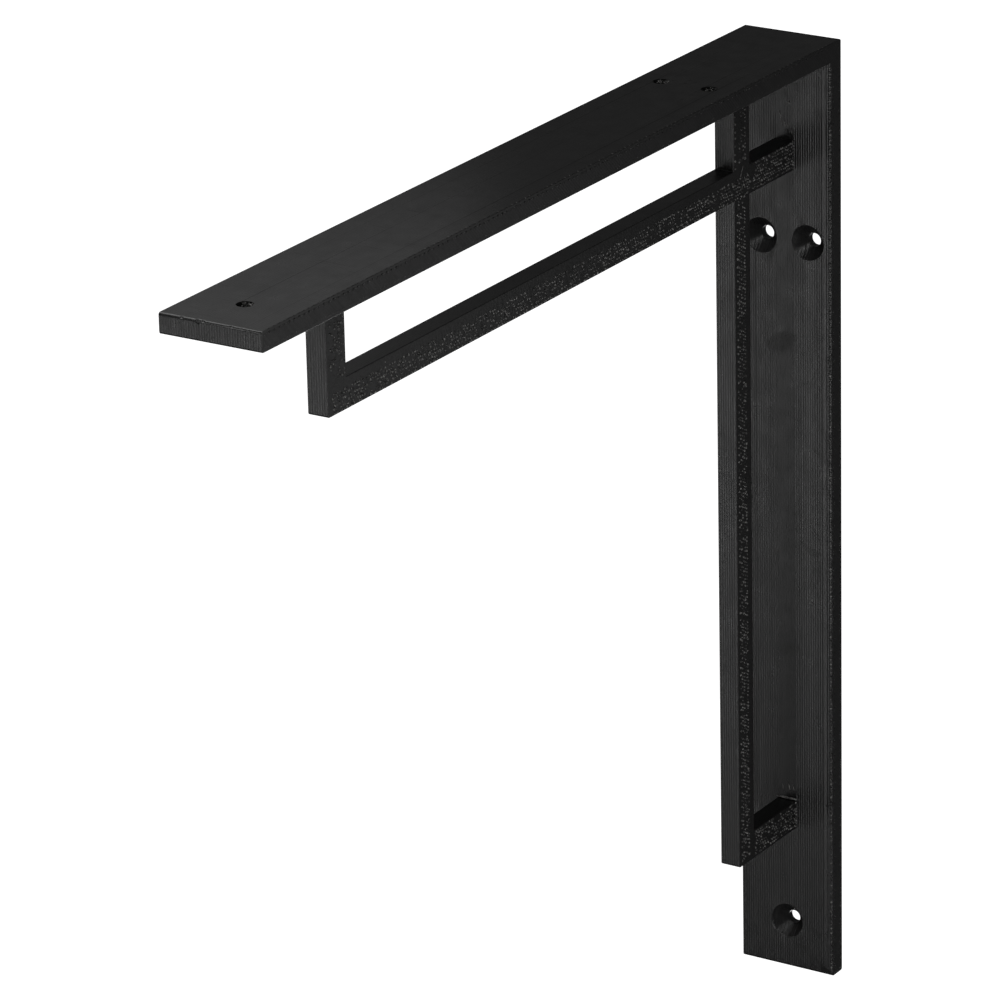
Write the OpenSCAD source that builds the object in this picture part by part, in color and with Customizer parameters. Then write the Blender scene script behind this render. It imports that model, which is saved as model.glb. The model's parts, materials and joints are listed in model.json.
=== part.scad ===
// Shelf bracket, printed in one piece. An arm and a wall plate meet at a right angle, and a
// frame of narrow ribs stiffens them inside the corner.
// X runs out from the wall, Y along the shelf and Z up. The origin is the line where the wall
// meets the shelf, at the middle of the width.

/* [Legs] */
// Length of the arm under the shelf, from the wall to the tip
arm_length = 300; // [280:5:400]
// Height of the wall plate, from the shelf to the foot
plate_height = 300; // [280:5:400]
// Width of the arm and of the wall plate
leg_width = 32; // [30:1:50]
// Thickness of the arm
arm_thickness = 6; // [5:0.5:9]
// Thickness of the wall plate
plate_thickness = 6; // [5:0.5:9]
// Radius of the corners at the free ends of the legs and of the ribs
corner_radius = 0.5; // [0.2:0.1:1.5]

/* [Ribs] */
// Width of the ribs
rib_width = 6.4; // [4:0.4:12]
// Depth of the ribs, seen from the side
rib_depth = 9.1; // [6:0.1:12]
// Distance from the outer face of a leg to the rib beside it
rib_offset = 31.6; // [24:0.2:40]
// Length of a leg past the outermost rib
free_length = 47.3; // [40:0.1:60]

/* [Screw holes] */
// Diameter of the holes in the wall plate
wall_screw_d = 5; // [4:0.1:6]
// Diameter of the holes in the arm
shelf_screw_d = 4.8; // [4:0.1:6]
// Diameter of the countersinks at the inner face of a leg
head_d = 11; // [9:0.5:12]
// Depth of the countersinks
head_depth = 3.5; // [2.5:0.1:4]
// Distance from the outer corner to a pair of holes
pair_distance = 62.5; // [60:0.5:80]
// Spacing of the two holes of a pair
pair_spacing = 16; // [14:0.5:18]
// Distance from the tip of the arm to its single hole
tip_hole_gap = 16; // [10:0.5:24]
// Distance from the foot of the wall plate to its single hole
foot_hole_gap = 15.5; // [10:0.5:24]

/* [Hidden] */
$fn = 64;
printed_black = "#2a2a2c";
// How far a rib is rooted behind the outer face of the leg that it grows from
rib_root = 2;
// How far a hole runs past each face that it opens
overrun = 1;

// Side view of a bar that runs along +X below the X axis and has a rounded far end
module bar(length, depth) {
    straight = length - corner_radius;
    translate([0, -depth])
        square([straight, depth]);
    translate([0, corner_radius - depth])
        square([length, depth - 2 * corner_radius]);
    for (z = [-corner_radius, corner_radius - depth])
        translate([straight, z])
            circle(r = corner_radius);
}

// Side view of the ribs of one leg: a rib beside the leg, and the one that ties its end to the leg
module rib_outline(length) {
    rib_end = length - free_length;
    translate([rib_root, -rib_offset])
        bar(rib_end - rib_root, rib_depth);
    translate([rib_end - rib_depth, -rib_root])
        mirror([1, 1, 0])
            bar(rib_offset + rib_depth - rib_root, rib_depth);
}

// Turns a side view into a solid of the given width, centred across the bracket
module across(wide) {
    rotate([90, 0, 0])
        linear_extrude(height = wide, center = true)
            children();
}

// Swaps the two directions of the corner, so that what lies along the arm lies down the wall
module down_the_wall() {
    mirror([1, 0, 1])
        children();
}

// One leg with its ribs, lying along the arm's direction
module leg(length, thickness) {
    across(leg_width)
        bar(length, thickness);
    across(rib_width)
        rib_outline(length);
}

// Hole down through a leg, countersunk where the screw's head sits in the inner face
module screw_hole(thickness, screw_d) {
    translate([0, 0, -thickness])
        cylinder(h = thickness + overrun, d = screw_d);
    translate([0, 0, -thickness])
        cylinder(h = head_depth, d1 = head_d, d2 = screw_d);
    translate([0, 0, -thickness - overrun])
        cylinder(h = overrun, d = head_d);
}

// The three holes of one leg: a pair near the corner and one near the free end
module leg_holes(length, thickness, screw_d, end_gap) {
    for (side = [-1, 1])
        translate([pair_distance, side * pair_spacing / 2, 0])
            screw_hole(thickness, screw_d);
    translate([length - end_gap, 0, 0])
        screw_hole(thickness, screw_d);
}

module bracket() {
    color(printed_black)
        difference() {
            union() {
                leg(arm_length, arm_thickness);
                down_the_wall()
                    leg(plate_height, plate_thickness);
            }
            leg_holes(arm_length, arm_thickness, shelf_screw_d, tip_hole_gap);
            down_the_wall()
                leg_holes(plate_height, plate_thickness, wall_screw_d, foot_hole_gap);
        }
}

bracket();
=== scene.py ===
"""Shelf bracket, printed in black plastic: its looks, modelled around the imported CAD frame.

X runs out from the wall, Y across the bracket's width and Z up, in metres. The bracket was
printed lying on its +Y side, so its layers are stacked along Y: the faces across Y show the
layers as fine lines, the +Y faces of the legs lay on the print bed, the +Y faces of the ribs
hung over supports, and the -Y faces are the last layers.
"""

import json
import math
import random

import bmesh
import bpy
from bpy.props import FloatProperty, FloatVectorProperty, IntProperty, PointerProperty
from mathutils import Matrix, Vector, noise


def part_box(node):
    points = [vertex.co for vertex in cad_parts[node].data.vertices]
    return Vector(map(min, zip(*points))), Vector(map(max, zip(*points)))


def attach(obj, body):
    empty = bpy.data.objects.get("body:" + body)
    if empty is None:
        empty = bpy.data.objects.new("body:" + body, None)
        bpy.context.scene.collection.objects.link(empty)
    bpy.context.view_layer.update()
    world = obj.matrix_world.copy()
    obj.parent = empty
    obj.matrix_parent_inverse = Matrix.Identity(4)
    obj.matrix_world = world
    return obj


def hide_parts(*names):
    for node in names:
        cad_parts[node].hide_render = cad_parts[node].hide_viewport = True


bl_info = {
    "name": "Printed shelf bracket",
    "version": (1, 0, 0),
    "blender": (4, 5, 0),
    "location": "View3D > Sidebar > Bracket",
    "description": "Builds a printed shelf bracket and the studio around it",
    "category": "Object",
}

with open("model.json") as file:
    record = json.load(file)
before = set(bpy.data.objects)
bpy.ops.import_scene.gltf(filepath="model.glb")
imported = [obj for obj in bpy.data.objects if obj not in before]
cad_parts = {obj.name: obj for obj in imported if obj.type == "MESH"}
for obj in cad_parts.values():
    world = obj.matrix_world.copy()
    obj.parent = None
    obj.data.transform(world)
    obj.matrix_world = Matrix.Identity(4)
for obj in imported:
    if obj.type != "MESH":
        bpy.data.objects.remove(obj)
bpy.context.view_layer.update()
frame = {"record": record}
cad_low, cad_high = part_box("bracket")

MM = 0.001

# Places across a layer's groove at which the print is sliced: its two edges and its bottom.
GROOVE_STEPS = (-1.0, 0.0, 1.0)
# How far apart two points may be and still count as one.
SAME = 0.002 * MM
# Sides of a round hole.
HOLE_SIDES = 64
# Segments of a rounded corner and of a rounded rim.
CORNER_SEGMENTS = 4
RIM_SEGMENTS = 3
# How far a hole's cutter runs past the faces that it opens.
OVERRUN = 1 * MM
# How much of its normal a wall has in side view, and how much of it points up on the arm's top.
WALL_SHARE = 0.8
TOP_SHARE = 0.7
# Distance between the inner lines that meet the front edge of the wall plate.
FRONT_PITCH = 1.47 * MM
# Distance between the level cuts that roughen the supported side.
ROUGH_STEP = 0.5 * MM
# Rows of pits on the bed side, in from the outer and from the inner edge, and half a pit's width.
PIT_ROWS = (1.1 * MM, 1.3 * MM)
HALF_PIT = 0.36 * MM
# Sharpest bend between two faces that are still shaded as one.
SMOOTH_ANGLE = math.radians(40)
DOWN = (0, 0, -1)
# Numbers of the finishes.
WALLS, BED_SIDE, SUPPORTED_SIDE, LAST_LAYERS, STRETCHED_AND_HIGHLIT = range(5)
# Chips in the upper edge of the tip: place across, radius and depth in millimetres.
TIP_CHIPS = ((-8.8, 0.7, 0.3), (-3.6, 1.1, 0.5), (-2.2, 0.8, 0.4), (6.6, 0.8, 0.3), (9.9, 0.5, 0.2))
# Knocks on the arm's top near the wall: place along and across in millimetres, and their size.
KNOCKS = (
    (57.7, -12.5), (60.4, -4.9), (61.5, -0.6), (58.3, -0.8), (75.5, 6.7), (59.3, 1.6), (67.7, 13.0),
)
KNOCK_RADIUS = 0.8 * MM
KNOCK_DEPTH = 0.12 * MM
# Threads where the ribs cross: half length, x and z in millimetres, and fall over run.
CROSSING_THREADS = (
    (2.2, 36.3, -32.6, -1.9), (1.6, 34.2, -35.6, 1.6), (1.5, 32.6, -34.8, 1.2),
    (1.2, 36.0, -37.2, -1.5),
)
# Threads down the wall plate above its ribs: half length, y and z in millimetres.
PLATE_THREADS = (
    (2.6, -0.9, -25.0), (2.0, 0.4, -27.0), (2.4, 1.5, -28.0), (1.3, 2.7, -29.0),
    (1.8, -1.2, -240.2), (2.4, 0.8, -239.0), (1.6, 2.4, -239.6),
)
# Single drops on the wall plate and on the upright rib, in millimetres.
SINGLE_DROPS = (
    (6, 1.8, -19.8), (6, 3.0, -54.3), (6, 13.5, -286), (40.7, -2.3, -120.7),
    (40.7, -2.2, -125.0), (6, 14.1, -242.9),
)
# Middle of the arm's tip, and the place that most lights point at.
TIP = (0.3, 0.0, 0.0)
MIDDLE = (0.05, 0, -0.12)
# The camera: azimuth, elevation and roll in degrees, the place it is set out from, how far it
# stands to the right, up and back from there in millimetres, and its lens and sensor.
CAMERA_ANGLES = (122.770, 20.613, -1.304)
CAMERA_START = (100, 0, -110)
CAMERA_OFFSET = (-35.173, -4.095, 1726.348)
LENS = 216.254
SENSOR = 36.0


def mounts():
    """The record's mounts by name."""
    return {mount["name"]: mount for mount in frame["record"]["mounts"]}


def length(name, default, description):
    """A property that holds a length in metres."""
    return FloatProperty(
        name=name, description=description, default=default, min=0.0, precision=5,
        subtype="DISTANCE", unit="LENGTH",
    )


def share(name, default, description):
    """A property that holds a part of one."""
    return FloatProperty(
        name=name, description=description, default=default, min=0.0, max=1.0, precision=4,
    )


def power(name, default, description):
    """A property that holds the power of a light in watts."""
    return FloatProperty(
        name=name, description=description, default=default, min=0.0, precision=4, unit="POWER",
    )


def colour(name, default, description):
    """A property that holds a linear colour."""
    return FloatVectorProperty(
        name=name, description=description, default=default, min=0.0, max=1.0, size=3,
        subtype="COLOR",
    )


class BracketSizes(bpy.types.PropertyGroup):
    """Sizes of the bracket, as in its CAD model."""

    arm_length: length("Arm length", cad_high.x - cad_low.x, "From the wall to the arm's tip")
    plate_height: length("Plate height", cad_high.z - cad_low.z, "From the shelf to the foot")
    leg_width: length("Leg width", cad_high.y - cad_low.y, "Width of the arm and wall plate")
    thickness: length("Thickness", 6 * MM, "Thickness of the arm and of the wall plate")
    rib_width: length("Rib width", 6.4 * MM, "Width of the ribs")
    rib_depth: length("Rib depth", 9.1 * MM, "Depth of the ribs, seen from the side")
    rib_offset: length("Rib offset", 31.6 * MM, "From the outer face of a leg to its rib")
    free_length: length("Free length", 47.3 * MM, "Length of a leg past the outermost rib")
    rib_root: length("Rib root", 2 * MM, "How far behind a leg's outer face its ribs start")
    head_d: length("Countersink", 11 * MM, "Diameter of the countersinks")
    head_depth: length("Countersink depth", 3.5 * MM, "Depth of the countersinks")


class PrintFinish(bpy.types.PropertyGroup):
    """How the bracket was printed, and the plastic."""

    layer: length("Layer", 0.4 * MM, "Height of a layer")
    line: length("Line", 0.8 * MM, "Width of a printed line")
    corner: length("Corner radius", 0.75 * MM, "Radius of the corners that run across")
    rim: length("Rim radius", 0.5 * MM, "Radius of the edges round the two sides")
    groove_width: length("Groove width", 0.13 * MM, "Half the width of the groove of a layer")
    groove_depth: length("Groove depth", 0.065 * MM, "Depth of every second groove")
    shallow_groove: length("Shallow groove", 0.03 * MM, "Depth of the grooves between them")
    top_share: share("Top", 0.45, "How deep the grooves are on the arm's top, of their depth")
    unevenness: length("Unevenness", 0.01 * MM, "How far single layers stand back")
    sag: length("Sag", 0.12 * MM, "Unevenness of the supported side")
    droop: length("Droop", 0.4 * MM, "How far the roof of a wall hole hangs into its bore")
    bead: length("Beads", 0.45 * MM, "Radius of the beads on the supported side")
    pit: length("Pits", 0.7 * MM, "Depth of the pits on the bed side")
    dot: length("Rim dots", 0.22 * MM, "How far the rim sinks between the lines that meet it")
    plastic: colour("Plastic", (0.005, 0.005, 0.0052), "Colour of the plastic")
    # Pale plastic is also the paler end of painted light: walls paler between painted shade at
    # their deep seams, and bead tops of the supported side paler as a painted highlight.
    pale_plastic: colour("Pale plastic", (0.012, 0.0118, 0.0115), "Where it is scuffed or dull")
    # The whitened colour is partly the real paleness of stretched plastic and partly a painted
    # highlight, standing for the glints on beads, edge dots and hole walls.
    whitened_and_highlight: colour("Whitened plastic", (0.2, 0.197, 0.192), "Beads and threads, stressed pale")
    dust: colour("Dust", (0.25, 0.25, 0.24), "Colour of the specks of dust")
    roughness: share("Roughness", 0.34, "Roughness of the plastic")
    seed: IntProperty(name="Seed", description="Seed of everything uneven", default=7)


class StudioSettings(bpy.types.PropertyGroup):
    """Floor and light."""

    floor_colour: colour("Floor", (0.92, 0.92, 0.92), "Colour of the floor")
    floor_depth: length("Floor depth", 1.5, "How far the floor lies below the bracket")
    front: power("Front", 0.7, "Light in front")
    front_low: power("Front, low", 1.95, "Low light in front")
    front_right: power("Front right", 1.65, "Low light on the right")
    front_left: power("Front left", 1.1, "Low light on the left")
    side: power("Side", 1.7, "Light on the side that the camera sees")
    tip_top: power("Tip from above", 0.0175, "Light over the tip")
    tip_side: power("Tip from the side", 0.052, "Light beside the tip")
    tip_glint: power("Tip glint", 0.12, "Light close over the tip's edge")
    high: power("High", 1.0, "High light, which reaches into the holes")
    high_right: power("High right", 2.2, "Light that fills the countersinks")
    fill: power("Fill", 8.0, "Each light on the sides turned away")
    ambient: share("Ambient light", 0.072, "Strength of the light from all sides")


def solid_across(outline, wide):
    """A closed solid from a side view in x and z, centred across the bracket."""
    bm = bmesh.new()
    face = bm.faces.new([bm.verts.new((x, -wide / 2, z)) for x, z in outline])
    grown = bmesh.ops.extrude_face_region(bm, geom=[face])
    far_side = [item for item in grown["geom"] if isinstance(item, bmesh.types.BMVert)]
    bmesh.ops.translate(bm, verts=far_side, vec=(0, wide, 0))
    bmesh.ops.recalc_face_normals(bm, faces=bm.faces[:])
    return bm


def round_edges(bm, edges, radius, segments):
    """Rounds the given edges."""
    bmesh.ops.bevel(
        bm, geom=edges, offset=radius, offset_type="OFFSET", affect="EDGES",
        segments=segments, profile=0.5, material=-1, clamp_overlap=True,
    )


def round_print(bm, wide, finish, buried):
    """Rounds a solid as the nozzle does: its outer corners, then the rims of its two sides."""
    corners = []
    for edge in bm.edges:
        one, other = (v.co for v in edge.verts)
        runs_across = abs(one.y - other.y) > wide / 2
        if runs_across and edge.is_convex and not (one.x < buried or one.z > -buried):
            corners.append(edge)
    round_edges(bm, corners, finish.corner, CORNER_SEGMENTS)
    rims = []
    for edge in bm.edges:
        if all(abs(abs(v.co.y) - wide / 2) < SAME for v in edge.verts):
            if any(abs(face.normal.y) < 0.5 for face in edge.link_faces):
                rims.append(edge)
    round_edges(bm, rims, finish.rim, RIM_SEGMENTS)


def leg_outline(sizes):
    """Side view of the arm and the wall plate."""
    arm, plate, thick = sizes.arm_length, sizes.plate_height, sizes.thickness
    return [(0, 0), (arm, 0), (arm, -thick), (thick, -thick), (thick, -plate), (0, -plate)]


def rib_outline(sizes):
    """Side view of the frame of ribs, which starts inside the legs."""
    root, near = sizes.rib_root, sizes.rib_offset
    deep = near + sizes.rib_depth
    tip = sizes.arm_length - sizes.free_length
    foot = sizes.plate_height - sizes.free_length
    return [
        (near, -root), (deep, -root), (deep, -near), (tip - sizes.rib_depth, -near),
        (tip - sizes.rib_depth, -root), (tip, -root), (tip, -deep), (deep, -deep),
        (deep, -foot), (root, -foot), (root, -foot + sizes.rib_depth),
        (near, -foot + sizes.rib_depth), (near, -deep), (root, -deep), (root, -near),
        (near, -near),
    ]


def screw_holes(sizes):
    """Every screw hole as (leg, distance from the corner, place across, radius)."""
    holes = []
    named = mounts()
    for name, leg in (("wall_screws_upper", "plate"), ("shelf_screws_inner", "arm"),
                      ("wall_screw_lower", "plate"), ("shelf_screw_tip", "arm")):
        place, dims = named[name]["pos_m"], named[name]["dims"]
        along = -place[2] if leg == "plate" else place[0]
        radius = dims.get("hole_r_mm", dims.get("r_mm")) * MM
        spacing = dims.get("spacing_x_mm", dims.get("spacing_y_mm", 0.0)) * MM
        for side in (-1, 1) if spacing else (0,):
            holes.append((leg, along, side * spacing / 2, radius))
    return holes


def hole_cutter(sizes, droop):
    """All screw holes as one cutter. Those of the plate are narrowed by their drooping roof."""
    bm = bmesh.new()
    thick, head = sizes.thickness, sizes.head_d / 2
    for leg, along, across, radius in screw_holes(sizes):
        start = thick - sizes.head_depth
        hang = droop if leg == "plate" else 0
        bore = radius - hang
        outline = [(-OVERRUN, 0), (-OVERRUN, bore), (start, bore), (thick, head)]
        outline += [(thick + OVERRUN, head), (thick + OVERRUN, 0)]
        if leg == "plate":
            centre, axis = Vector((0, across, -along)), Vector((1, 0, 0))
        else:
            centre, axis = Vector((along, across, 0)), Vector((0, 0, -1))
        ring = [bm.verts.new(centre + axis * deep + Vector((0, out, 0))) for deep, out in outline]
        edges = [bm.edges.new(pair) for pair in zip(ring, ring[1:])]
        bmesh.ops.spin(
            bm, geom=ring + edges, cent=centre, axis=axis, steps=HOLE_SIDES,
            angle=math.tau, use_merge=True,
        )
        lowered = [
            vert for vert in bm.verts
            if hang and abs((vert.co - centre).cross(axis).length - bore) < SAME
        ]
        bmesh.ops.translate(bm, verts=lowered, vec=(0, hang, 0))
    bmesh.ops.remove_doubles(bm, verts=bm.verts[:], dist=SAME / 4)
    bmesh.ops.recalc_face_normals(bm, faces=bm.faces[:])
    return bm


def as_object(bm, name):
    """Turns a bmesh into an object of the scene."""
    mesh = bpy.data.meshes.new(name)
    bm.to_mesh(mesh)
    bm.free()
    made = bpy.data.objects.new(name, mesh)
    bpy.context.scene.collection.objects.link(made)
    return made


def combined(base, others):
    """The mesh of base after each (operation, object) of others; the others are removed."""
    for operation, other in others:
        modifier = base.modifiers.new(operation.lower(), "BOOLEAN")
        modifier.operation = operation
        modifier.solver = "EXACT"
        modifier.object = other
    view_layer = bpy.context.view_layer
    view_layer.update()
    evaluated = base.evaluated_get(bpy.context.evaluated_depsgraph_get())
    mesh = bpy.data.meshes.new_from_object(evaluated)
    for made in [base] + [other for operation, other in others]:
        bpy.data.objects.remove(made, do_unlink=True)
    bm = bmesh.new()
    bm.from_mesh(mesh)
    bpy.data.meshes.remove(mesh)
    bmesh.ops.remove_doubles(bm, verts=bm.verts[:], dist=SAME / 4)
    bmesh.ops.dissolve_degenerate(bm, edges=bm.edges[:], dist=SAME / 4)
    return bm


def cut_across(bm, faces, axis, places):
    """Cuts the faces across an axis at each place, from the middle one on; gives all parts."""
    if not faces or not places:
        return faces
    middle = len(places) // 2
    place = places[middle]
    edges = {edge for face in faces for edge in face.edges}
    verts = {vert for face in faces for vert in face.verts}
    normal = Vector([float(index == axis) for index in range(3)])
    cut = bmesh.ops.bisect_plane(
        bm, geom=list(verts) + list(edges) + faces, dist=SAME / 2,
        plane_co=normal * place, plane_no=normal,
    )
    parts = [item for item in cut["geom"] if isinstance(item, bmesh.types.BMFace)]
    centres = [face.calc_center_median()[axis] for face in parts]
    low = [face for face, centre in zip(parts, centres) if centre < place]
    high = [face for face, centre in zip(parts, centres) if centre >= place]
    low = cut_across(bm, low, axis, places[:middle])
    high = cut_across(bm, high, axis, places[middle + 1:])
    return low + high


def layer_places(finish):
    """Where the layers start, across the bracket."""
    low, high = cad_low.y, cad_high.y
    count = round((high - low) / finish.layer)
    return [low + index * finish.layer for index in range(count)]


def layer_faults(finish):
    """How far back each layer stands and how deep its first seam is, no two alike."""
    chance = random.Random(finish.seed)
    faults = []
    for index, _ in enumerate(layer_places(finish)):
        back = chance.random() * finish.unevenness
        deep = finish.groove_depth if index % 2 else finish.shallow_groove
        faults.append((back, deep * (0.85 + 0.3 * chance.random())))
    return faults


def slice_layers(bm, finish, beaded):
    """Cuts the walls of the print along its layers, and presses the seams between them in."""
    starts = layer_places(finish)
    faults = layer_faults(finish)
    last = len(starts) - 1
    heights = [
        start + where * finish.groove_width for start in starts[1:] for where in GROOVE_STEPS
    ]
    beaded = set(beaded)
    standing = []
    for face in bm.faces:
        places = [vert.co.y for vert in face.verts]
        if max(places) - min(places) > finish.layer and face not in beaded:
            standing.append(face)
    cut_across(bm, standing, 1, heights)
    bm.normal_update()
    moves = []
    for vert in bm.verts:
        inward = Vector((-vert.normal.x, 0, -vert.normal.z))
        if inward.length < WALL_SHARE:
            continue
        inward.normalize()
        place = (vert.co.y - starts[0]) / finish.layer
        seam = round(place)
        from_seam = abs(place - seam) * finish.layer / finish.groove_width
        depth = faults[min(max(math.floor(place + 1e-4), 0), last)][0]
        if 0 < seam <= last and from_seam < 0.5:
            depth += faults[seam][1]
        if vert.normal.z > TOP_SHARE:
            depth *= finish.top_share
        moves.append((vert, inward * depth))
    for vert, move in moves:
        vert.co += move


def from_outline(x, z, outline):
    """Distance from a place in side view to the nearest line of a closed outline."""
    nearest = math.inf
    for (x0, z0), (x1, z1) in zip(outline, outline[1:] + outline[:1]):
        run, rise = x1 - x0, z1 - z0
        part = ((x - x0) * run + (z - z0) * rise) / (run * run + rise * rise)
        part = min(max(part, 0.0), 1.0)
        nearest = min(nearest, math.hypot(x - x0 - part * run, z - z0 - part * rise))
    return nearest


def turn_pitch(finish):
    """Distance along an edge between the turns of the lines laid at 45 degrees."""
    return 2 * finish.line * math.sqrt(2)


def whole_steps(low, high, step):
    """Whole multiples of a step between two places."""
    return [index * step for index in range(math.ceil(low / step), math.floor(high / step) + 1)]


def side_faces(bm, height):
    """The flat +Y faces at a height."""
    return [
        face for face in bm.faces
        if face.normal.y > 0.99 and abs(face.calc_center_median().y - height) < 0.05 * MM
    ]


def roughen_supported_side(bm, sizes, finish):
    """Beads and gaps on the +Y faces of the ribs, printed over supports; gives these faces."""
    height = sizes.rib_width / 2
    faces = side_faces(bm, height)
    along = finish.line / math.sqrt(2)
    outline = rib_outline(sizes)
    xs = [x for x, _ in outline]
    zs = [z for _, z in outline]
    faces = cut_across(bm, faces, 0, whole_steps(min(xs), max(xs), along))
    faces = cut_across(bm, faces, 2, whole_steps(min(zs), max(zs), ROUGH_STEP))
    inside = set(faces)
    chance = random.Random(finish.seed + 1)
    verts = sorted({vert for face in faces for vert in face.verts}, key=lambda v: v.co[:])
    near = sizes.rib_offset
    stub = near - 1 * MM
    # Calm along the outline and where a rib faces its leg, roughest on the stubs in the corner.
    for vert in verts:
        x, y, z = vert.co
        rolls = [chance.random() for _ in range(3)]
        if not all(face in inside for face in vert.link_faces):
            continue
        edge = from_outline(x, z, outline)
        calm = min(max((edge - 0.4 * finish.line) / finish.line, 0.15), 1.0)
        rough = 0.75 + 0.9 * noise.noise(Vector((x, z, 0)) / (3.0 * MM))
        if x < stub or -z < stub:
            rough = 1.1 + 0.5 * noise.noise(Vector((x, z, 2)) / (2.0 * MM))
        elif min(x, -z) < near + 2 * MM:
            rough *= 0.3
        rough = max(rough, 0.12) * calm
        bead = 1 if (round(x / along) + round(z / ROUGH_STEP)) % 2 else -1
        rise = bead * (0.15 + 0.85 * rolls[0])
        rise += 0.8 * noise.noise(Vector((x, z, 4)) / (0.9 * MM))
        vert.co.y = y + finish.sag * rough * rise
        if edge > finish.line:
            vert.co.x += 0.3 * along * (rolls[1] - 0.5) * min(rough, 1.0)
            vert.co.z += 0.3 * ROUGH_STEP * (rolls[2] - 0.5) * min(rough, 1.0)
    return faces


def pit_bed_side(bm, sizes, finish):
    """Pits beside the outer line on the +Y faces of the legs, where the infill turns round."""
    height = sizes.leg_width / 2
    faces = side_faces(bm, height)
    chance = random.Random(finish.seed + 2)
    thick = sizes.thickness
    turn = turn_pitch(finish)
    rows = (PIT_ROWS[0], thick - PIT_ROWS[1])
    cuts = sorted(row + side * HALF_PIT for row in rows for side in (-1, 0, 1))
    faces = cut_across(bm, faces, 2, [-cut for cut in reversed(cuts)])
    faces = cut_across(bm, faces, 0, cuts)
    middles_x = whole_steps(thick + turn, sizes.arm_length - turn, turn)
    middles_z = whole_steps(-sizes.plate_height + turn, -thick - turn, turn)
    arm = [face for face in faces if face.calc_center_median().x > thick - HALF_PIT]
    plate = [face for face in faces if face.calc_center_median().z < -thick + HALF_PIT]
    for leg, axis, middles in ((arm, 0, middles_x), (plate, 2, middles_z)):
        cuts = sorted(middle + side * HALF_PIT for middle in middles for side in (-1, 0, 1))
        cut_across(bm, leg, axis, cuts)
    for vert in bm.verts:
        x, y, z = vert.co
        if abs(y - height) > SAME:
            continue
        in_arm = x > thick and abs(z + rows[0]) < SAME
        in_plate = z < -thick and any(abs(x - row) < SAME for row in rows)
        turns = (x if in_arm else z) / turn
        if (in_arm or in_plate) and abs(turns - round(turns)) * turn < SAME:
            vert.co.y -= finish.pit * (0.3 + chance.random())


def dot_rims(bm, sizes, finish):
    """Small swellings along the seen edges of the bed side, where inner lines meet the outer."""
    top = cad_high.y
    thick = sizes.thickness
    rows = (
        (2, -thick, lambda x, z: abs(x - thick) < finish.rim, FRONT_PITCH),
        (0, thick, lambda x, z: abs(z) < finish.rim, turn_pitch(finish)),
    )
    chance = random.Random(finish.seed + 3)
    for axis, start, on_edge, pitch in rows:
        strip = []
        for face in bm.faces:
            middle = face.calc_center_median()
            past_corner = middle[axis] < start if axis == 2 else middle[axis] > start
            if middle.y > top - finish.rim and 0.1 < face.normal.y < 0.99 and past_corner:
                if on_edge(middle.x, middle.z):
                    strip.append(face)
        places = [vert.co[axis] for face in strip for vert in face.verts]
        if not places:
            continue
        low, high = min(places) + pitch, max(places) - pitch
        parts = cut_across(bm, strip, axis, whole_steps(low, high, pitch / 4))
        bm.normal_update()
        inner = [
            vert for vert in {vert for face in parts for vert in face.verts}
            if top - 0.9 * finish.rim < vert.co.y < top - 0.02 * finish.rim
        ]
        inner.sort(key=lambda vert: vert.co[:])
        faults = {}
        for vert in inner:
            step = vert.co[axis] / pitch
            dot = round(step)
            if dot not in faults:
                faults[dot] = chance.random()
            if abs(step - dot) > 0.1:
                vert.co -= vert.normal * finish.dot * (0.3 + 0.7 * faults[dot])


def reaches(face, place, radius):
    """Whether a face comes within a box of the given half size round a place."""
    for axis in range(3):
        places = [vert.co[axis] for vert in face.verts]
        if min(places) - radius > place[axis] or max(places) + radius < place[axis]:
            return False
    return True


def chip(bm, place, radius, depth):
    """Presses a small dent into the arm's top round a place, after cutting it finely enough."""
    place = Vector(place)
    lowest = place.z - 2 * radius
    near = [
        face for face in bm.faces
        if face.verts[0].co.z > lowest and reaches(face, place, radius)
    ]
    for axis in (0, 2):
        steps = [place[axis] + radius * part for part in (-1, -0.4, 0.4, 1)]
        near = cut_across(bm, near, axis, steps)
    for vert in {vert for face in near for vert in face.verts}:
        far = (vert.co - place).length / radius
        if far < 1.0:
            vert.co -= vert.normal * depth * (1.0 - far * far) ** 2


def droplet(bm, place, reach, way, finer=0):
    """A drop or thread of plastic that sits on the surface, drawn out along a direction."""
    turn = Vector(way).to_track_quat("X", "Z").to_matrix().to_4x4()
    size = Matrix.Diagonal((reach[0], reach[1], reach[1], 1.0))
    bmesh.ops.create_icosphere(
        bm, subdivisions=1 + finer, radius=1.0,
        matrix=Matrix.Translation(place) @ turn @ size,
    )


def drop_row(bm, chance, place, way, pitch, count, radius, jitter, spread=0.6):
    """Drops in a row, none quite like the next."""
    for index in range(count):
        roll = 1.0 + spread * (chance.random() - 0.5)
        spot = Vector(place) + Vector(way) * (index * pitch + jitter * (chance.random() - 0.5))
        droplet(bm, spot, (radius * roll, radius * 0.8 * roll), way)


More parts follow.
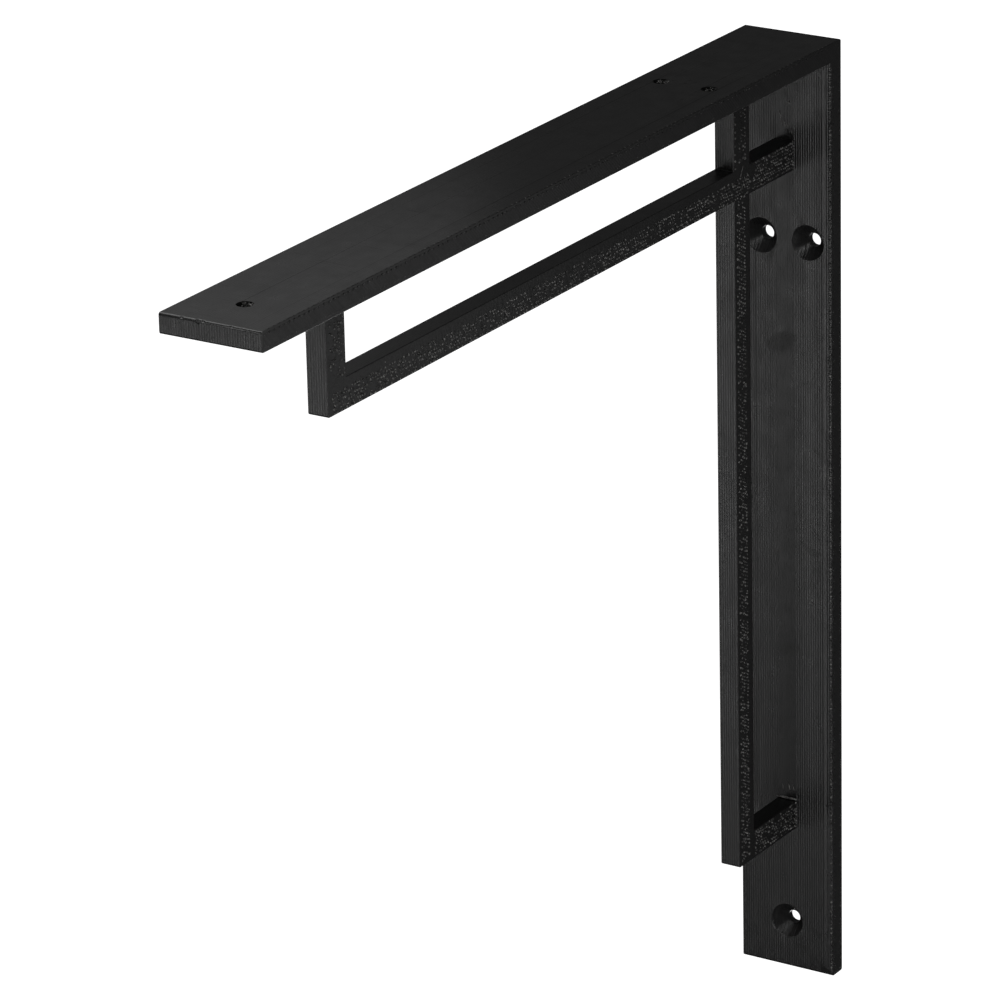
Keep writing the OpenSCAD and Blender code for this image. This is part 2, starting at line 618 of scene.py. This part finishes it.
def bead_field(bm, chance, sizes, finish, along_wall, low, high, rows, fullness):
    """Beads in rows over a rib's side, down the wall or along the arm, thick only in places."""
    side = sizes.rib_width / 2 - 0.05 * MM
    pitch = finish.line * math.sqrt(2)
    count = math.floor((high - low) / pitch)
    for row, deep in enumerate(rows):
        for index in range(count):
            rolls = [chance.random() for _ in range(5)]
            along = low + (index + 0.5 * (row % 2) + 0.35 * (rolls[0] - 0.5)) * pitch
            deep_here = deep + 0.35 * pitch * (rolls[1] - 0.5)
            x, z = (deep_here, -along) if along_wall else (along, -deep_here)
            patch = noise.noise(Vector((x, z, 1)) / (5.0 * MM))
            if rolls[2] > fullness + 0.55 * patch:
                continue
            reach = finish.bead * (0.55 + 0.6 * rolls[3])
            slope = Vector((1, 0, 1)) if rolls[4] > 0.3 else Vector((1, 0, -0.6))
            droplet(bm, (x, side, z), (1.15 * reach, 0.85 * reach), slope)


def strut_top(sizes):
    """How far down the wall the rib starts that ties the upright rib to the wall plate."""
    return sizes.plate_height - sizes.free_length - sizes.rib_depth


def beads(bm, chance, sizes, finish):
    """The beads of the supported side, densest on the stubs in the corner."""
    near = sizes.rib_offset
    far = near + sizes.rib_depth
    arm_end = sizes.arm_length - sizes.free_length
    wall_end = sizes.plate_height - sizes.free_length
    step = 1.05 * MM
    rows = [near + 3.2 * MM + index * step for index in range(6)]
    tight = [near + 0.6 * MM + index * step for index in range(8)]
    strut = [strut_top(sizes) + 0.6 * MM + index * step for index in range(8)]
    drop = [arm_end - sizes.rib_depth + 0.8 * MM + index * step for index in range(7)]
    low, high = sizes.thickness + 0.5 * MM, near - 0.4 * MM
    for field in (
        (False, near, arm_end - 1 * MM, rows, 0.72),
        (True, far, wall_end - 1 * MM, rows[:4], 0.85),
        (False, low, high, tight, 0.85),
        (True, low, high, tight[2:6], 0.6),
        (False, low, near, strut, 0.75),
        (True, low, near, drop, 0.45),
    ):
        bead_field(bm, chance, sizes, finish, *field)


def edge_drops(bm, chance, sizes, finish):
    """Drops along the front edge of the wall plate and the top edge of the arm, on the bed side;
    their pale finish also paints the bright dots and dashes there as painted highlights.
    """
    thick, turn = sizes.thickness, turn_pitch(finish)
    start = (thick, cad_high.y - 0.42 * MM, -thick - FRONT_PITCH)
    drop_row(bm, chance, start, DOWN, FRONT_PITCH, 198, 0.36 * MM, 0.2 * MM)
    start = (thick + turn, cad_high.y - 0.36 * MM, -0.36 * MM)
    drop_row(bm, chance, start, (1, 0, 0), turn, 100, 0.43 * MM, 0.2 * MM, 0.06)


def hole_drops(bm, chance, sizes):
    """Pale drops on the walls of the arm's holes, where one looks in from above the tip, which
    paint the lit part of each wall as a painted highlight.
    """
    for leg, along, aside, radius in screw_holes(sizes):
        if leg == "arm":
            for index in range(20):
                angle = math.radians(140 + 5 * index)
                bend = radius * Vector((math.cos(angle), math.sin(angle), 0))
                spot = Vector((along, aside, -0.4 * MM - 0.9 * MM * chance.random())) + bend
                droplet(bm, spot, (0.3 * MM, 0.22 * MM), DOWN)


def rib_drops(bm, chance, sizes, finish):
    """Drops where the ribs meet the wall plate, and down the outer edge of the upright rib."""
    thick, side, turn = sizes.thickness, sizes.rib_width / 2, turn_pitch(finish)
    far = sizes.rib_offset + sizes.rib_depth
    for top in (sizes.rib_offset, strut_top(sizes)):
        start = (thick + 0.15 * MM, side, -top - 0.4 * MM)
        drop_row(bm, chance, start, DOWN, 1.0 * MM, 9, 0.45 * MM, 0.2 * MM)
    start = (far - 1.7 * MM, side, -far - turn)
    drop_row(bm, chance, start, DOWN, turn, 93, 0.42 * MM, 0.5 * MM)
    start = (far - 0.7 * MM, side, -thick - turn)
    drop_row(bm, chance, start, DOWN, turn, 11, 0.42 * MM, 0.5 * MM)


def threads(bm, sizes):
    """A thick bead over the lowest rib, threads on the ribs and the plate, and single drops."""
    thick, side = sizes.thickness, sizes.rib_width / 2
    across = (0, 1, 0)
    spot = (thick, 0, -strut_top(sizes) + 0.5 * MM)
    droplet(bm, spot, (3.9 * MM, 0.42 * MM), across, 1)
    for reach, x, z, slope in CROSSING_THREADS:
        spot = (x * MM, side + 0.08 * MM, z * MM)
        droplet(bm, spot, (reach * MM, 0.14 * MM), (1, 0, slope))
    for reach, y, z in PLATE_THREADS:
        droplet(bm, (thick, y * MM, z * MM), (reach * MM, 0.11 * MM), (0, 0.25, -1))
    for place in SINGLE_DROPS:
        droplet(bm, Vector(place) * MM, (0.34 * MM, 0.3 * MM), DOWN, 1)


def stray_plastic(bm, sizes, finish):
    """Beads, drops and threads that the nozzle left behind, made apart and then added."""
    drops = bmesh.new()
    chance = random.Random(finish.seed + 4)
    beads(drops, chance, sizes, finish)
    edge_drops(drops, chance, sizes, finish)
    hole_drops(drops, chance, sizes)
    rib_drops(drops, chance, sizes, finish)
    threads(drops, sizes)
    for face in drops.faces:
        face.smooth = True
        # The drops' finish is paler both from stretched plastic and as a painted highlight.
        face.material_index = STRETCHED_AND_HIGHLIT
    mesh = bpy.data.meshes.new("drops")
    drops.to_mesh(mesh)
    drops.free()
    bm.from_mesh(mesh)
    bpy.data.meshes.remove(mesh)


def wear_edges(bm):
    """Chips in the edge of the tip, and knocks on the arm's top near the wall."""
    for across, radius, depth in TIP_CHIPS:
        chip(bm, (TIP[0] - 0.1 * MM, across * MM, -0.1 * MM), radius * MM, depth * MM)
    for along, across in KNOCKS:
        chip(bm, (along * MM, across * MM, 0), KNOCK_RADIUS, KNOCK_DEPTH)


def paint_by_side(bm, sizes):
    """Gives each face its finish by where it lies and where it faces."""
    rib_side = sizes.rib_width / 2
    for face in bm.faces:
        place = face.calc_center_median().y
        face.smooth = True
        face.material_index = WALLS
        if face.normal.y > 0.4 and place > cad_high.y - 0.3 * MM:
            face.material_index = BED_SIDE
        elif face.normal.y > 0.4 and abs(place - rib_side) < 0.3 * MM:
            face.material_index = SUPPORTED_SIDE
        elif face.normal.y < -0.9:
            if place < cad_low.y + 0.1 * MM or abs(place + rib_side) < 0.1 * MM:
                face.material_index = LAST_LAYERS
    for edge in bm.edges:
        if len(edge.link_faces) == 2:
            edge.smooth = edge.calc_face_angle(0.0) < SMOOTH_ANGLE


def node(tree, kind, inputs=None, **settings):
    """Adds a node, with settings and with inputs given as values or as sockets to link."""
    made = tree.nodes.new(kind)
    for name, value in settings.items():
        setattr(made, name, value)
    for name, value in (inputs or {}).items():
        if isinstance(value, bpy.types.NodeSocket):
            tree.links.new(value, made.inputs[name])
        else:
            made.inputs[name].default_value = value
    return made


def reckon(tree, operation, first, second=0.0, third=0.0):
    """The result of one sum, from numbers or sockets."""
    terms = {0: first, 1: second, 2: third}
    return node(tree, "ShaderNodeMath", terms, operation=operation).outputs[0]


def scaled(tree, value, factor, plus=0.0):
    """A value times a factor, plus another value."""
    return reckon(tree, "MULTIPLY_ADD", value, factor, plus)


def soft_noise(tree, place, scale, detail, roughness=0.5):
    """Noise from 0 to 1."""
    return node(tree, "ShaderNodeTexNoise", {
        "Vector": place, "Scale": scale, "Detail": detail, "Roughness": roughness,
    }).outputs["Fac"]


def ramp(tree, value, low, high, at_low=0.0, at_high=1.0):
    """A soft step from one value to another."""
    return node(tree, "ShaderNodeMapRange", {
        "Value": value, "From Min": low, "From Max": high, "To Min": at_low, "To Max": at_high,
    }, interpolation_type="SMOOTHSTEP").outputs["Result"]


def shader_group(name, inputs, outputs):
    """An empty shader node group that puts out numbers, with its input and output nodes."""
    tree = bpy.data.node_groups.new(name, "ShaderNodeTree")
    for label, kind in inputs.items():
        tree.interface.new_socket(label, in_out="INPUT", socket_type=kind)
    for label in outputs:
        tree.interface.new_socket(label, in_out="OUTPUT", socket_type="NodeSocketFloat")
    return tree, tree.nodes.new("NodeGroupInput").outputs, tree.nodes.new("NodeGroupOutput")


def printed_lines_group():
    """Lines of one pitch: how each line differs from the next, and how it is rounded."""
    tree, given, put = shader_group(
        "printed_lines", {"Place": "NodeSocketFloat", "Pitch": "NodeSocketFloat"},
        ("Tone", "Round"),
    )
    step = reckon(tree, "DIVIDE", given["Place"], given["Pitch"])
    index = reckon(tree, "FLOOR", reckon(tree, "ADD", step, 1000.0))
    tone = node(tree, "ShaderNodeTexWhiteNoise", {"W": index}, noise_dimensions="1D")
    from_seam = reckon(tree, "PINGPONG", step, 0.5)
    tree.links.new(tone.outputs["Value"], put.inputs["Tone"])
    tree.links.new(ramp(tree, from_seam, 0.0, 0.35), put.inputs["Round"])
    return tree


def plastic_marks_group():
    """Marks that the whole print shares: mottled gloss, fine grain, scuffs and bright specks."""
    tree, given, put = shader_group(
        "plastic_marks", {"Place": "NodeSocketVector"}, ("Mottle", "Grain", "Scuffs", "Specks"),
    )
    place = given["Place"]
    slanted = node(tree, "ShaderNodeMapping", {
        "Vector": place, "Rotation": (0.3, 0.9, 0.5), "Scale": (2200.0, 90.0, 160.0),
    })
    thread = soft_noise(tree, slanted.outputs["Vector"], 1.0, 0.0)
    where = soft_noise(tree, place, 75.0, 0.0)
    scuffs = scaled(tree, ramp(tree, thread, 0.66, 0.72), ramp(tree, where, 0.55, 0.66))
    cells = node(tree, "ShaderNodeTexVoronoi", {"Vector": place, "Scale": 240.0})
    chosen = node(tree, "ShaderNodeSeparateColor", {"Color": cells.outputs["Color"]})
    size = ramp(tree, chosen.outputs["Red"], 0.972, 1.0, 0.0, 0.07)
    specks = reckon(tree, "LESS_THAN", cells.outputs["Distance"], size)
    tree.links.new(soft_noise(tree, place, 160.0, 1.0, 0.6), put.inputs["Mottle"])
    tree.links.new(soft_noise(tree, place, 2600.0, 1.0, 0.6), put.inputs["Grain"])
    tree.links.new(scuffs, put.inputs["Scuffs"])
    tree.links.new(specks, put.inputs["Specks"])
    return tree


def inside_outline_group(sizes):
    """How deep a place on a leg's side lies inside the bracket's outline."""
    tree, given, put = shader_group(
        "inside_outline", {"Place": "NodeSocketVector"}, ("Depth",),
    )
    parts = node(tree, "ShaderNodeSeparateXYZ", {"Vector": given["Place"]})
    out = parts.outputs["X"]
    down = scaled(tree, parts.outputs["Z"], -1.0)
    outer = reckon(tree, "MINIMUM", out, down)
    inner = reckon(
        tree, "MAXIMUM",
        reckon(tree, "SUBTRACT", sizes.thickness, out),
        reckon(tree, "SUBTRACT", sizes.thickness, down),
    )
    ends = reckon(
        tree, "MINIMUM",
        reckon(tree, "SUBTRACT", sizes.arm_length, out),
        reckon(tree, "SUBTRACT", sizes.plate_height, down),
    )
    depth = reckon(tree, "MINIMUM", reckon(tree, "MINIMUM", outer, inner), ends)
    tree.links.new(depth, put.inputs["Depth"])
    return tree


def group_node(tree, group, inputs):
    """Uses a shader node group in a material."""
    return node(tree, "ShaderNodeGroup", inputs, node_tree=group).outputs


def start_material(name):
    """A material without nodes, and its object coordinates."""
    material = bpy.data.materials.new(name)
    material.use_nodes = True
    tree = material.node_tree
    tree.nodes.clear()
    place = tree.nodes.new("ShaderNodeTexCoord").outputs["Object"]
    return material, tree, place


def mixed_colour(tree, share_of, one, other):
    """A colour between two others, each a value or a socket."""
    inputs = {0: share_of, 6: one, 7: other}
    return node(tree, "ShaderNodeMix", inputs, data_type="RGBA").outputs[2]


def plastic_surface(tree, tint, roughness, height):
    """The plastic itself, with its colour, roughness and relief."""
    bump = node(tree, "ShaderNodeBump", {"Height": height, "Strength": 1.0, "Distance": 1.0})
    shader = node(tree, "ShaderNodeBsdfPrincipled", {
        "Base Color": tint, "Roughness": roughness, "Normal": bump.outputs["Normal"], "IOR": 1.5,
    })
    node(tree, "ShaderNodeOutputMaterial", {"Surface": shader.outputs["BSDF"]})


def end_material(tree, finish, marks, pale, roughness, height):
    """Joins tone, roughness and relief into the plastic, with the shared marks on it."""
    # The pale share holds the scuffs, the random tone and, on the walls and the supported side,
    # painted shade and painted highlight.
    scuffs_and_painted_light = reckon(tree, "MAXIMUM", pale, scaled(tree, marks["Scuffs"], 0.8))
    clean = mixed_colour(tree, scuffs_and_painted_light, (*finish.plastic, 1.0), (*finish.pale_plastic, 1.0))
    dusty = mixed_colour(tree, marks["Specks"], clean, (*finish.dust, 1.0))
    mottled = scaled(tree, marks["Mottle"], 0.16, -0.08)
    dull = reckon(tree, "ADD", roughness, mottled)
    dull = scaled(tree, marks["Scuffs"], 0.1, dull)
    plastic_surface(tree, dusty, dull, height)


def layered_material(finish, groups):
    """Walls that show the layers edge on: each layer a little duller or paler than the next, and
    each pair of layers painted darker toward its deep seam as painted shade in the groove.
    """
    material, tree, place = start_material("layered_walls")
    parts = node(tree, "ShaderNodeSeparateXYZ", {"Vector": place})
    across = parts.outputs["Y"]
    layers = group_node(tree, groups["lines"], {"Place": across, "Pitch": finish.layer})
    pairs = group_node(tree, groups["lines"], {"Place": across, "Pitch": 2 * finish.layer})
    marks = group_node(tree, groups["marks"], {"Place": place})
    along = node(tree, "ShaderNodeMapping", {"Vector": place, "Scale": (900.0, 3000.0, 900.0)})
    streaks = soft_noise(tree, along.outputs["Vector"], 1.0, 1.0, 0.65)
    pale = scaled(tree, layers["Tone"], 0.1)
    # Painted shade: each pair of layers is painted darker toward its deep seam and paler in its
    # middle.
    pale = scaled(tree, pairs["Round"], 0.4, pale)
    pale = scaled(tree, streaks, 0.5, reckon(tree, "SUBTRACT", pale, 0.25))
    pale = reckon(tree, "MAXIMUM", pale, 0.0)
    rough = scaled(tree, layers["Tone"], 0.02, finish.roughness - 0.03)
    rough = scaled(tree, streaks, 0.08, reckon(tree, "SUBTRACT", rough, 0.04))
    height = scaled(tree, streaks, 0.02 * MM)
    height = scaled(tree, marks["Grain"], 0.006 * MM, height)
    end_material(tree, finish, marks, pale, rough, height)
    return material


def raster_material(name, finish, groups, relief, duller):
    """Sides with lines laid at 45 degrees inside lines that follow the outline."""
    material, tree, place = start_material(name)
    parts = node(tree, "ShaderNodeSeparateXYZ", {"Vector": place})
    slant = reckon(tree, "SUBTRACT", parts.outputs["X"], parts.outputs["Z"])
    slant = scaled(tree, slant, 1 / math.sqrt(2))
    depth = group_node(tree, groups["outline"], {"Place": place})["Depth"]
    inner = ramp(tree, depth, 1.15 * MM, 1.25 * MM)
    on_leg = reckon(tree, "GREATER_THAN", reckon(tree, "ABSOLUTE", parts.outputs["Y"]), 0.01)
    inner = reckon(tree, "MAXIMUM", inner, reckon(tree, "SUBTRACT", 1.0, on_leg))
    follow = scaled(tree, depth, reckon(tree, "SUBTRACT", 1.0, inner))
    across = scaled(tree, slant, inner, follow)
    lines = group_node(tree, groups["lines"], {"Place": across, "Pitch": finish.line})
    marks = group_node(tree, groups["marks"], {"Place": place})
    pale = scaled(tree, lines["Tone"], 0.4)
    pale = scaled(tree, marks["Mottle"], 0.5, reckon(tree, "SUBTRACT", pale, 0.15))
    pale = reckon(tree, "MAXIMUM", pale, 0.0)
    rough = scaled(tree, lines["Tone"], 0.08, finish.roughness - 0.02 + duller)
    rough = scaled(tree, marks["Grain"], 0.08, rough)
    height = scaled(tree, lines["Round"], relief)
    height = scaled(tree, marks["Grain"], 0.01 * MM, height)
    end_material(tree, finish, marks, pale, rough, height)
    return material


def supported_material(finish, groups):
    """The rough underside of the ribs: beads painted paler on top as a painted highlight, with
    painted shade in the dull gaps between them.
    """
    material, tree, place = start_material("supported_side")
    marks = group_node(tree, groups["marks"], {"Place": place})
    beads = node(tree, "ShaderNodeTexVoronoi", {
        "Vector": place, "Scale": 1500.0, "Randomness": 0.9,
    }, feature="SMOOTH_F1")
    lumps = ramp(tree, beads.outputs["Distance"], 0.0, 0.7, 1.0, 0.0)
    # Painted highlight on each bead's top and painted shade in the gaps between beads.
    pale = scaled(tree, lumps, 0.5)
    pale = scaled(tree, marks["Grain"], 0.6, reckon(tree, "SUBTRACT", pale, 0.2))
    pale = reckon(tree, "MAXIMUM", pale, 0.0)
    rough = scaled(tree, marks["Grain"], 0.2, finish.roughness - 0.06)
    height = scaled(tree, lumps, 0.05 * MM)
    height = scaled(tree, marks["Grain"], 0.02 * MM, height)
    end_material(tree, finish, marks, pale, rough, height)
    return material


def bead_material(finish, groups):
    """Beads, drops and threads, paler than the rest: partly because the plastic was stretched,
    partly as a painted highlight that stands for their glints.
    """
    material, tree, place = start_material("stretched_and_highlit_plastic")
    marks = group_node(tree, groups["marks"], {"Place": place})
    pale = ramp(tree, soft_noise(tree, place, 900.0, 1.0), 0.35, 0.65)
    # Painted highlight: the pale mix is partly stretched plastic, partly painted bright for the
    # glints.
    tint = mixed_colour(tree, pale, (*finish.pale_plastic, 1.0), (*finish.whitened_and_highlight, 1.0))
    rough = scaled(tree, marks["Mottle"], 0.16, finish.roughness - 0.12)
    height = scaled(tree, marks["Grain"], 0.01 * MM)
    plastic_surface(tree, tint, rough, height)
    return material


def plastic_materials(sizes, finish):
    """The finishes of the print, in the order in which they are numbered."""
    groups = {
        "lines": printed_lines_group(),
        "marks": plastic_marks_group(),
        "outline": inside_outline_group(sizes),
    }
    return (
        layered_material(finish, groups),
        raster_material("bed_side", finish, groups, 0.02 * MM, 0.0),
        supported_material(finish, groups),
        raster_material("last_layers", finish, groups, 0.06 * MM, 0.04),
        bead_material(finish, groups),
    )


class BRACKET_OT_print(bpy.types.Operator):
    """Build the printed bracket in place of its CAD node"""

    bl_idname = "bracket.print"
    bl_label = "Printed bracket"
    bl_options = {"REGISTER", "UNDO"}

    def execute(self, context):
        sizes = context.scene.bracket_sizes
        finish = context.scene.bracket_finish
        legs = solid_across(leg_outline(sizes), sizes.leg_width)
        round_print(legs, sizes.leg_width, finish, -1.0)
        ribs = solid_across(rib_outline(sizes), sizes.rib_width)
        round_print(ribs, sizes.rib_width, finish, sizes.rib_root + SAME)
        bm = combined(as_object(legs, "legs"), [
            ("UNION", as_object(ribs, "ribs")),
            ("DIFFERENCE", as_object(hole_cutter(sizes, finish.droop), "holes")),
        ])
        bm.normal_update()
        pit_bed_side(bm, sizes, finish)
        dot_rims(bm, sizes, finish)
        beaded = roughen_supported_side(bm, sizes, finish)
        slice_layers(bm, finish, beaded)
        bm.normal_update()
        wear_edges(bm)
        bm.normal_update()
        paint_by_side(bm, sizes)
        stray_plastic(bm, sizes, finish)
        piece = as_object(bm, "bracket_print")
        for material in plastic_materials(sizes, finish):
            piece.data.materials.append(material)
        weighted = piece.modifiers.new("weighted_normals", "WEIGHTED_NORMAL")
        weighted.mode = "FACE_AREA"
        weighted.keep_sharp = True
        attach(piece, "root")
        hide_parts("bracket")
        return {"FINISHED"}


def from_angle(azimuth, elevation, far, target):
    """A place seen from the target in a direction given in degrees, and the target itself."""
    across, rise = math.radians(azimuth), math.radians(elevation)
    level = math.cos(rise)
    way = Vector((math.cos(across) * level, math.sin(across) * level, math.sin(rise)))
    return Vector(target) + far * way, target


def area_light(name, place, target, size, power):
    """A soft square light that points at the target."""
    data = bpy.data.lights.new(name, "AREA")
    data.shape = "SQUARE"
    data.size = size
    data.energy = power
    lamp = bpy.data.objects.new(name, data)
    lamp.location = place
    lamp.rotation_mode = "QUATERNION"
    lamp.rotation_quaternion = (Vector(target) - Vector(place)).to_track_quat("-Z", "Y")
    lamp.visible_camera = False
    bpy.context.scene.collection.objects.link(lamp)


def place_camera():
    """The camera, where the photograph was taken from."""
    azimuth, elevation, roll = (math.radians(angle) for angle in CAMERA_ANGLES)
    back = Vector((
        math.sin(azimuth) * math.cos(elevation),
        -math.cos(azimuth) * math.cos(elevation),
        math.sin(elevation),
    ))
    level = Vector((math.cos(azimuth), math.sin(azimuth), 0))
    upright = back.cross(level)
    right = math.cos(roll) * level + math.sin(roll) * upright
    up = -math.sin(roll) * level + math.cos(roll) * upright
    data = bpy.data.cameras.new("camera")
    data.sensor_width = SENSOR
    data.lens = LENS
    data.clip_end = 100.0
    camera = bpy.data.objects.new("camera", data)
    place = Vector(CAMERA_START) * MM
    for way, offset in zip((right, up, back), CAMERA_OFFSET):
        place += offset * MM * way
    camera.matrix_world = Matrix((
        (right.x, up.x, back.x, place.x),
        (right.y, up.y, back.y, place.y),
        (right.z, up.z, back.z, place.z),
        (0, 0, 0, 1),
    ))
    bpy.context.scene.collection.objects.link(camera)
    bpy.context.scene.camera = camera


def studio_world(ambient):
    """A white background for the camera, and soft light from all sides for the bracket."""
    world = bpy.data.worlds.new("studio")
    world.use_nodes = True
    tree = world.node_tree
    tree.nodes.clear()
    seen = node(tree, "ShaderNodeBackground", {"Color": (1, 1, 1, 1), "Strength": 1.1})
    light = node(tree, "ShaderNodeBackground", {"Color": (1, 1, 1, 1), "Strength": ambient})
    path = node(tree, "ShaderNodeLightPath")
    mixed = node(tree, "ShaderNodeMixShader", {0: path.outputs["Is Camera Ray"]})
    tree.links.new(light.outputs[0], mixed.inputs[1])
    tree.links.new(seen.outputs[0], mixed.inputs[2])
    node(tree, "ShaderNodeOutputWorld", {"Surface": mixed.outputs[0]})
    bpy.context.scene.world = world


def lay_floor(studio):
    """A pale floor, far enough below for its shadows to stay out of view."""
    bm = bmesh.new()
    bmesh.ops.create_grid(bm, x_segments=1, y_segments=1, size=20.0)
    bmesh.ops.translate(bm, verts=bm.verts[:], vec=(0, 0, cad_low.z - studio.floor_depth))
    floor = as_object(bm, "floor")
    material = bpy.data.materials.new("pale_floor")
    material.use_nodes = True
    tree = material.node_tree
    tree.nodes.clear()
    shader = node(tree, "ShaderNodeBsdfPrincipled", {
        "Base Color": (*studio.floor_colour, 1.0),
        "Roughness": 0.9,
        "Emission Color": (*studio.floor_colour, 1.0),
        "Emission Strength": 1.2,
    })
    node(tree, "ShaderNodeOutputMaterial", {"Surface": shader.outputs["BSDF"]})
    floor.data.materials.append(material)
    floor.visible_diffuse = False
    floor.visible_glossy = False


class BRACKET_OT_studio(bpy.types.Operator):
    """Set up the floor, the light and the camera"""

    bl_idname = "bracket.studio"
    bl_label = "Studio"
    bl_options = {"REGISTER", "UNDO"}

    def execute(self, context):
        studio = context.scene.bracket_studio
        context.scene.view_settings.view_transform = "Standard"
        place_camera()
        studio_world(studio.ambient)
        lay_floor(studio)
        area_light("front", *from_angle(10, -8, 1.4, MIDDLE), 0.35, studio.front)
        area_light("front_low", *from_angle(0, -20, 1.4, MIDDLE), 0.35, studio.front_low)
        area_light("front_right", *from_angle(22, -20, 1.4, MIDDLE), 0.35, studio.front_right)
        area_light("front_left", *from_angle(-35, -16, 1.4, MIDDLE), 0.45, studio.front_left)
        area_light("side", (0.1, 1.1, -0.5), (0.1, 0, -0.1), 0.4, studio.side)
        area_light("tip_top", (0.12, -0.12, 0.12), TIP, 0.15, studio.tip_top)
        area_light("tip_side", (0, 0.25, -0.15), TIP, 0.2, studio.tip_side)
        area_light("high", *from_angle(-15, 36, 1.3, TIP), 0.5, studio.high)
        area_light("tip_glint", (0.296, -0.066, 0.111), TIP, 0.12, studio.tip_glint)
        area_light("high_right", *from_angle(48, 44, 1.3, MIDDLE), 0.5, studio.high_right)
        area_light("under_back", (-0.9, -0.25, -1.3), MIDDLE, 0.8, studio.fill)
        area_light("far_side", (-0.25, -1.4, -0.5), MIDDLE, 0.8, studio.fill)
        return {"FINISHED"}


class BRACKET_PT_panel(bpy.types.Panel):
    """Sizes, finish and studio of the bracket"""

    bl_idname = "BRACKET_PT_panel"
    bl_label = "Bracket"
    bl_space_type = "VIEW_3D"
    bl_region_type = "UI"
    bl_category = "Bracket"

    def draw(self, context):
        for name in ("bracket_sizes", "bracket_finish", "bracket_studio"):
            group = getattr(context.scene, name)
            box = self.layout.box()
            for key in group.__annotations__:
                box.prop(group, key)
        self.layout.operator(BRACKET_OT_print.bl_idname)
        self.layout.operator(BRACKET_OT_studio.bl_idname)


classes = (
    BracketSizes, PrintFinish, StudioSettings,
    BRACKET_OT_print, BRACKET_OT_studio, BRACKET_PT_panel,
)


def register():
    for cls in classes:
        bpy.utils.register_class(cls)
    bpy.types.Scene.bracket_sizes = PointerProperty(type=BracketSizes)
    bpy.types.Scene.bracket_finish = PointerProperty(type=PrintFinish)
    bpy.types.Scene.bracket_studio = PointerProperty(type=StudioSettings)


def unregister():
    del bpy.types.Scene.bracket_sizes
    del bpy.types.Scene.bracket_finish
    del bpy.types.Scene.bracket_studio
    for cls in reversed(classes):
        bpy.utils.unregister_class(cls)


def main():
    register()
    bpy.ops.bracket.print()
    bpy.ops.bracket.studio()


if __name__ == "__main__":
    main()
